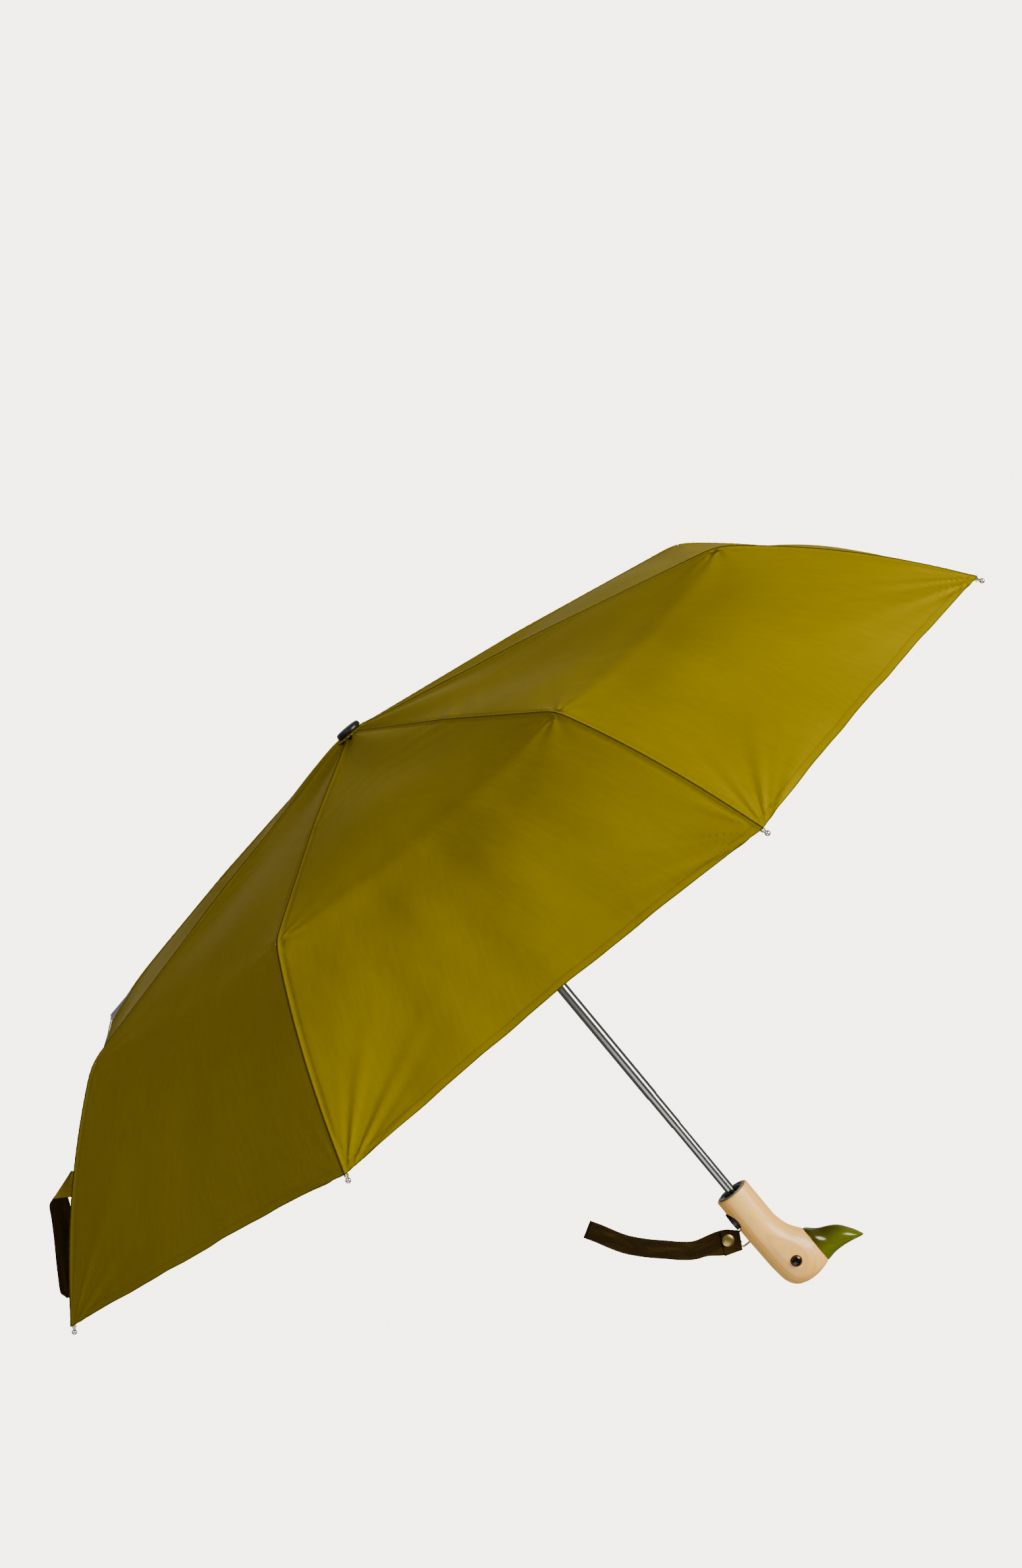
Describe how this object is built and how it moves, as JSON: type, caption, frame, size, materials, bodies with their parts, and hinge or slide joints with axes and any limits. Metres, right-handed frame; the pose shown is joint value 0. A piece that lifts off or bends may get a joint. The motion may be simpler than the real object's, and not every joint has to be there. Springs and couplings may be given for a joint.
{
  "type": "folding umbrella",
  "caption": "Open three-fold umbrella: ribbed fabric canopy on a telescoping chromed shaft, with a wooden bird-head handle, release button and wrist strap.",
  "frame": {"origin": "the middle of the hand grip, on the shaft's axis", "axes": "+Z along the shaft to the cap, +X to the side the beak points to, +Y completes a right-handed frame"},
  "size_m": [0.8904, 0.8904, 0.5914],
  "materials": {
    "wood": "clear-lacquered pale maple, fine straight grain",
    "beak_gloss": "high-gloss olive green lacquer",
    "eye_glass": "polished black glass bead",
    "grey_plastic": "satin dark grey",
    "black_plastic": "satin black",
    "shaft_chrome": "bright chrome plate",
    "rib_steel": "zinc-plated folded strip",
    "tip_rod": "bright nickel plate",
    "spring_steel": "bright spring wire",
    "ring_brass": "warm polished brass",
    "snap_brass": "antique brass",
    "strap_leather": "dark brown-olive, matt grain",
    "canopy_cloth": "olive satin pongee"
  },
  "bodies": {
    "handle": {"handle": "wood", "beak": "beak_gloss", "eyes": "eye_glass", "tip_cup": "grey_plastic", "shaft_tube_low": "shaft_chrome", "button_spring": "spring_steel", "drive_spring": "spring_steel"},
    "release_button": {"release_button": "black_plastic"},
    "wrist_strap": {"strap_ring": "ring_brass", "wrist_strap": "strap_leather", "strap_snap": "snap_brass"},
    "shaft_tube_second": {"shaft_tube_second": "shaft_chrome"},
    "shaft_tube_third": {"shaft_tube_third": "shaft_chrome"},
    "shaft_tube_top": {"shaft_tube_top": "shaft_chrome", "notch": "black_plastic", "notch_wire": "spring_steel", "cap": "black_plastic", "cap_washer": "canopy_cloth", "canopy": "canopy_cloth"},
    "runner": {"runner": "black_plastic", "runner_wire": "spring_steel"},
    "inner_rib_1": {"inner_rib_1": "rib_steel"},
    "stretcher_1": {"stretcher_1": "rib_steel"},
    "middle_rib_1": {"middle_rib_1": "rib_steel"},
    "outer_rib_1": {"outer_rib_1": "tip_rod"},
    "inner_rib_2": {"inner_rib_2": "rib_steel"},
    "stretcher_2": {"stretcher_2": "rib_steel"},
    "middle_rib_2": {"middle_rib_2": "rib_steel"},
    "outer_rib_2": {"outer_rib_2": "tip_rod"},
    "inner_rib_3": {"inner_rib_3": "rib_steel"},
    "stretcher_3": {"stretcher_3": "rib_steel"},
    "middle_rib_3": {"middle_rib_3": "rib_steel"},
    "outer_rib_3": {"outer_rib_3": "tip_rod"},
    "inner_rib_4": {"inner_rib_4": "rib_steel"},
    "stretcher_4": {"stretcher_4": "rib_steel"},
    "middle_rib_4": {"middle_rib_4": "rib_steel"},
    "outer_rib_4": {"outer_rib_4": "tip_rod"},
    "inner_rib_5": {"inner_rib_5": "rib_steel"},
    "stretcher_5": {"stretcher_5": "rib_steel"},
    "middle_rib_5": {"middle_rib_5": "rib_steel"},
    "outer_rib_5": {"outer_rib_5": "tip_rod", "closing_band": "canopy_cloth"},
    "inner_rib_6": {"inner_rib_6": "rib_steel"},
    "stretcher_6": {"stretcher_6": "rib_steel"},
    "middle_rib_6": {"middle_rib_6": "rib_steel"},
    "outer_rib_6": {"outer_rib_6": "tip_rod"},
    "inner_rib_7": {"inner_rib_7": "rib_steel"},
    "stretcher_7": {"stretcher_7": "rib_steel"},
    "middle_rib_7": {"middle_rib_7": "rib_steel"},
    "outer_rib_7": {"outer_rib_7": "tip_rod"},
    "inner_rib_8": {"inner_rib_8": "rib_steel"},
    "stretcher_8": {"stretcher_8": "rib_steel"},
    "middle_rib_8": {"middle_rib_8": "rib_steel"},
    "outer_rib_8": {"outer_rib_8": "tip_rod"}
  },
  "joints": [
    {"name": "button_press", "type": "slide", "parent": "handle", "child": "release_button", "axis": [1, 0, 0], "range_m": [0, 0.003], "stiffness_N_per_m": 400, "springref_m": -0.004, "deforming": ["button_spring"]},
    {"name": "strap_swing", "type": "hinge", "parent": "handle", "child": "wrist_strap", "pos_m": [-0.0125, 0, -0.014], "axis": [0, 0, 1], "range_deg": [-45, 45]},
    {"name": "shaft_extend", "type": "slide", "parent": "shaft_tube_third", "child": "shaft_tube_top", "axis": [0, 0, 1], "range_m": [-0.18, 0], "deforming": ["drive_spring"]},
    {"name": "shaft_extend_third", "type": "slide", "parent": "shaft_tube_second", "child": "shaft_tube_third", "axis": [0, 0, 1], "range_m": [-0.031, 0]},
    {"name": "shaft_extend_second", "type": "slide", "parent": "handle", "child": "shaft_tube_second", "axis": [0, 0, 1], "range_m": [-0.07, 0]},
    {"name": "canopy_fold", "type": "slide", "parent": "shaft_tube_top", "child": "runner", "axis": [0, 0, -1], "range_m": [0, 0.10168], "deforming": ["canopy", "closing_band"]},
    {"name": "notch_hinge_1", "type": "hinge", "parent": "shaft_tube_top", "child": "inner_rib_1", "pos_m": [0.0097, 0.00402, 0.503], "axis": [-0.3827, 0.9239, 0], "range_deg": [0, 80.72]},
    {"name": "stretcher_hinge_1", "type": "hinge", "parent": "inner_rib_1", "child": "stretcher_1", "pos_m": [0.07808, 0.03234, 0.49088], "axis": [-0.3827, 0.9239, 0], "range_deg": [-136.04, 0]},
    {"name": "inner_knee_1", "type": "hinge", "parent": "inner_rib_1", "child": "middle_rib_1", "pos_m": [0.15586, 0.06456, 0.47902], "axis": [-0.3827, 0.9239, 0], "range_deg": [-180.42, 0]},
    {"name": "outer_knee_1", "type": "hinge", "parent": "middle_rib_1", "child": "outer_rib_1", "pos_m": [0.30757, 0.1274, 0.44321], "axis": [-0.3827, 0.9239, 0], "range_deg": [0, 147.02]},
    {"name": "notch_hinge_2", "type": "hinge", "parent": "shaft_tube_top", "child": "inner_rib_2", "pos_m": [0.00402, 0.0097, 0.503], "axis": [-0.9239, 0.3827, 0], "range_deg": [0, 80.72]},
    {"name": "stretcher_hinge_2", "type": "hinge", "parent": "inner_rib_2", "child": "stretcher_2", "pos_m": [0.03234, 0.07808, 0.49088], "axis": [-0.9239, 0.3827, 0], "range_deg": [-136.04, 0]},
    {"name": "inner_knee_2", "type": "hinge", "parent": "inner_rib_2", "child": "middle_rib_2", "pos_m": [0.06456, 0.15586, 0.47902], "axis": [-0.9239, 0.3827, 0], "range_deg": [-180.42, 0]},
    {"name": "outer_knee_2", "type": "hinge", "parent": "middle_rib_2", "child": "outer_rib_2", "pos_m": [0.1274, 0.30757, 0.44321], "axis": [-0.9239, 0.3827, 0], "range_deg": [0, 147.02]},
    {"name": "notch_hinge_3", "type": "hinge", "parent": "shaft_tube_top", "child": "inner_rib_3", "pos_m": [-0.00402, 0.0097, 0.503], "axis": [-0.9239, -0.3827, 0], "range_deg": [0, 80.72]},
    {"name": "stretcher_hinge_3", "type": "hinge", "parent": "inner_rib_3", "child": "stretcher_3", "pos_m": [-0.03234, 0.07808, 0.49088], "axis": [-0.9239, -0.3827, 0], "range_deg": [-136.04, 0]},
    {"name": "inner_knee_3", "type": "hinge", "parent": "inner_rib_3", "child": "middle_rib_3", "pos_m": [-0.06456, 0.15586, 0.47902], "axis": [-0.9239, -0.3827, 0], "range_deg": [-180.42, 0]},
    {"name": "outer_knee_3", "type": "hinge", "parent": "middle_rib_3", "child": "outer_rib_3", "pos_m": [-0.1274, 0.30757, 0.44321], "axis": [-0.9239, -0.3827, 0], "range_deg": [0, 147.02]},
    {"name": "notch_hinge_4", "type": "hinge", "parent": "shaft_tube_top", "child": "inner_rib_4", "pos_m": [-0.0097, 0.00402, 0.503], "axis": [-0.3827, -0.9239, 0], "range_deg": [0, 80.72]},
    {"name": "stretcher_hinge_4", "type": "hinge", "parent": "inner_rib_4", "child": "stretcher_4", "pos_m": [-0.07808, 0.03234, 0.49088], "axis": [-0.3827, -0.9239, 0], "range_deg": [-136.04, 0]},
    {"name": "inner_knee_4", "type": "hinge", "parent": "inner_rib_4", "child": "middle_rib_4", "pos_m": [-0.15586, 0.06456, 0.47902], "axis": [-0.3827, -0.9239, 0], "range_deg": [-180.42, 0]},
    {"name": "outer_knee_4", "type": "hinge", "parent": "middle_rib_4", "child": "outer_rib_4", "pos_m": [-0.30757, 0.1274, 0.44321], "axis": [-0.3827, -0.9239, 0], "range_deg": [0, 147.02]},
    {"name": "notch_hinge_5", "type": "hinge", "parent": "shaft_tube_top", "child": "inner_rib_5", "pos_m": [-0.0097, -0.00402, 0.503], "axis": [0.3827, -0.9239, 0], "range_deg": [0, 80.72]},
    {"name": "stretcher_hinge_5", "type": "hinge", "parent": "inner_rib_5", "child": "stretcher_5", "pos_m": [-0.07808, -0.03234, 0.49088], "axis": [0.3827, -0.9239, 0], "range_deg": [-136.04, 0]},
    {"name": "inner_knee_5", "type": "hinge", "parent": "inner_rib_5", "child": "middle_rib_5", "pos_m": [-0.15586, -0.06456, 0.47902], "axis": [0.3827, -0.9239, 0], "range_deg": [-180.42, 0]},
    {"name": "outer_knee_5", "type": "hinge", "parent": "middle_rib_5", "child": "outer_rib_5", "pos_m": [-0.30757, -0.1274, 0.44321], "axis": [0.3827, -0.9239, 0], "range_deg": [0, 147.02]},
    {"name": "notch_hinge_6", "type": "hinge", "parent": "shaft_tube_top", "child": "inner_rib_6", "pos_m": [-0.00402, -0.0097, 0.503], "axis": [0.9239, -0.3827, 0], "range_deg": [0, 80.72]},
    {"name": "stretcher_hinge_6", "type": "hinge", "parent": "inner_rib_6", "child": "stretcher_6", "pos_m": [-0.03234, -0.07808, 0.49088], "axis": [0.9239, -0.3827, 0], "range_deg": [-136.04, 0]},
    {"name": "inner_knee_6", "type": "hinge", "parent": "inner_rib_6", "child": "middle_rib_6", "pos_m": [-0.06456, -0.15586, 0.47902], "axis": [0.9239, -0.3827, 0], "range_deg": [-180.42, 0]},
    {"name": "outer_knee_6", "type": "hinge", "parent": "middle_rib_6", "child": "outer_rib_6", "pos_m": [-0.1274, -0.30757, 0.44321], "axis": [0.9239, -0.3827, 0], "range_deg": [0, 147.02]},
    {"name": "notch_hinge_7", "type": "hinge", "parent": "shaft_tube_top", "child": "inner_rib_7", "pos_m": [0.00402, -0.0097, 0.503], "axis": [0.9239, 0.3827, 0], "range_deg": [0, 80.72]},
    {"name": "stretcher_hinge_7", "type": "hinge", "parent": "inner_rib_7", "child": "stretcher_7", "pos_m": [0.03234, -0.07808, 0.49088], "axis": [0.9239, 0.3827, 0], "range_deg": [-136.04, 0]},
    {"name": "inner_knee_7", "type": "hinge", "parent": "inner_rib_7", "child": "middle_rib_7", "pos_m": [0.06456, -0.15586, 0.47902], "axis": [0.9239, 0.3827, 0], "range_deg": [-180.42, 0]},
    {"name": "outer_knee_7", "type": "hinge", "parent": "middle_rib_7", "child": "outer_rib_7", "pos_m": [0.1274, -0.30757, 0.44321], "axis": [0.9239, 0.3827, 0], "range_deg": [0, 147.02]},
    {"name": "notch_hinge_8", "type": "hinge", "parent": "shaft_tube_top", "child": "inner_rib_8", "pos_m": [0.0097, -0.00402, 0.503], "axis": [0.3827, 0.9239, 0], "range_deg": [0, 80.72]},
    {"name": "stretcher_hinge_8", "type": "hinge", "parent": "inner_rib_8", "child": "stretcher_8", "pos_m": [0.07808, -0.03234, 0.49088], "axis": [0.3827, 0.9239, 0], "range_deg": [-136.04, 0]},
    {"name": "inner_knee_8", "type": "hinge", "parent": "inner_rib_8", "child": "middle_rib_8", "pos_m": [0.15586, -0.06456, 0.47902], "axis": [0.3827, 0.9239, 0], "range_deg": [-180.42, 0]},
    {"name": "outer_knee_8", "type": "hinge", "parent": "middle_rib_8", "child": "outer_rib_8", "pos_m": [0.30757, -0.1274, 0.44321], "axis": [0.3827, 0.9239, 0], "range_deg": [0, 147.02]}
  ],
  "couplings": [
    {"joint": "shaft_extend_third", "follows": "shaft_extend", "ratio": 0.17222},
    {"joint": "shaft_extend_second", "follows": "shaft_extend", "ratio": 0.38888},
    {"joint": "notch_hinge_1", "follows": "canopy_fold", "rad_per_m": 13.853},
    {"joint": "stretcher_hinge_1", "follows": "canopy_fold", "rad_per_m": -23.349},
    {"joint": "inner_knee_1", "follows": "canopy_fold", "rad_per_m": -30.967},
    {"joint": "outer_knee_1", "follows": "canopy_fold", "rad_per_m": 25.234},
    {"joint": "notch_hinge_2", "follows": "canopy_fold", "rad_per_m": 13.853},
    {"joint": "stretcher_hinge_2", "follows": "canopy_fold", "rad_per_m": -23.349},
    {"joint": "inner_knee_2", "follows": "canopy_fold", "rad_per_m": -30.967},
    {"joint": "outer_knee_2", "follows": "canopy_fold", "rad_per_m": 25.234},
    {"joint": "notch_hinge_3", "follows": "canopy_fold", "rad_per_m": 13.853},
    {"joint": "stretcher_hinge_3", "follows": "canopy_fold", "rad_per_m": -23.349},
    {"joint": "inner_knee_3", "follows": "canopy_fold", "rad_per_m": -30.967},
    {"joint": "outer_knee_3", "follows": "canopy_fold", "rad_per_m": 25.234},
    {"joint": "notch_hinge_4", "follows": "canopy_fold", "rad_per_m": 13.853},
    {"joint": "stretcher_hinge_4", "follows": "canopy_fold", "rad_per_m": -23.349},
    {"joint": "inner_knee_4", "follows": "canopy_fold", "rad_per_m": -30.967},
    {"joint": "outer_knee_4", "follows": "canopy_fold", "rad_per_m": 25.234},
    {"joint": "notch_hinge_5", "follows": "canopy_fold", "rad_per_m": 13.853},
    {"joint": "stretcher_hinge_5", "follows": "canopy_fold", "rad_per_m": -23.349},
    {"joint": "inner_knee_5", "follows": "canopy_fold", "rad_per_m": -30.967},
    {"joint": "outer_knee_5", "follows": "canopy_fold", "rad_per_m": 25.234},
    {"joint": "notch_hinge_6", "follows": "canopy_fold", "rad_per_m": 13.853},
    {"joint": "stretcher_hinge_6", "follows": "canopy_fold", "rad_per_m": -23.349},
    {"joint": "inner_knee_6", "follows": "canopy_fold", "rad_per_m": -30.967},
    {"joint": "outer_knee_6", "follows": "canopy_fold", "rad_per_m": 25.234},
    {"joint": "notch_hinge_7", "follows": "canopy_fold", "rad_per_m": 13.853},
    {"joint": "stretcher_hinge_7", "follows": "canopy_fold", "rad_per_m": -23.349},
    {"joint": "inner_knee_7", "follows": "canopy_fold", "rad_per_m": -30.967},
    {"joint": "outer_knee_7", "follows": "canopy_fold", "rad_per_m": 25.234},
    {"joint": "notch_hinge_8", "follows": "canopy_fold", "rad_per_m": 13.853},
    {"joint": "stretcher_hinge_8", "follows": "canopy_fold", "rad_per_m": -23.349},
    {"joint": "inner_knee_8", "follows": "canopy_fold", "rad_per_m": -30.967},
    {"joint": "outer_knee_8", "follows": "canopy_fold", "rad_per_m": 25.234}
  ]
}
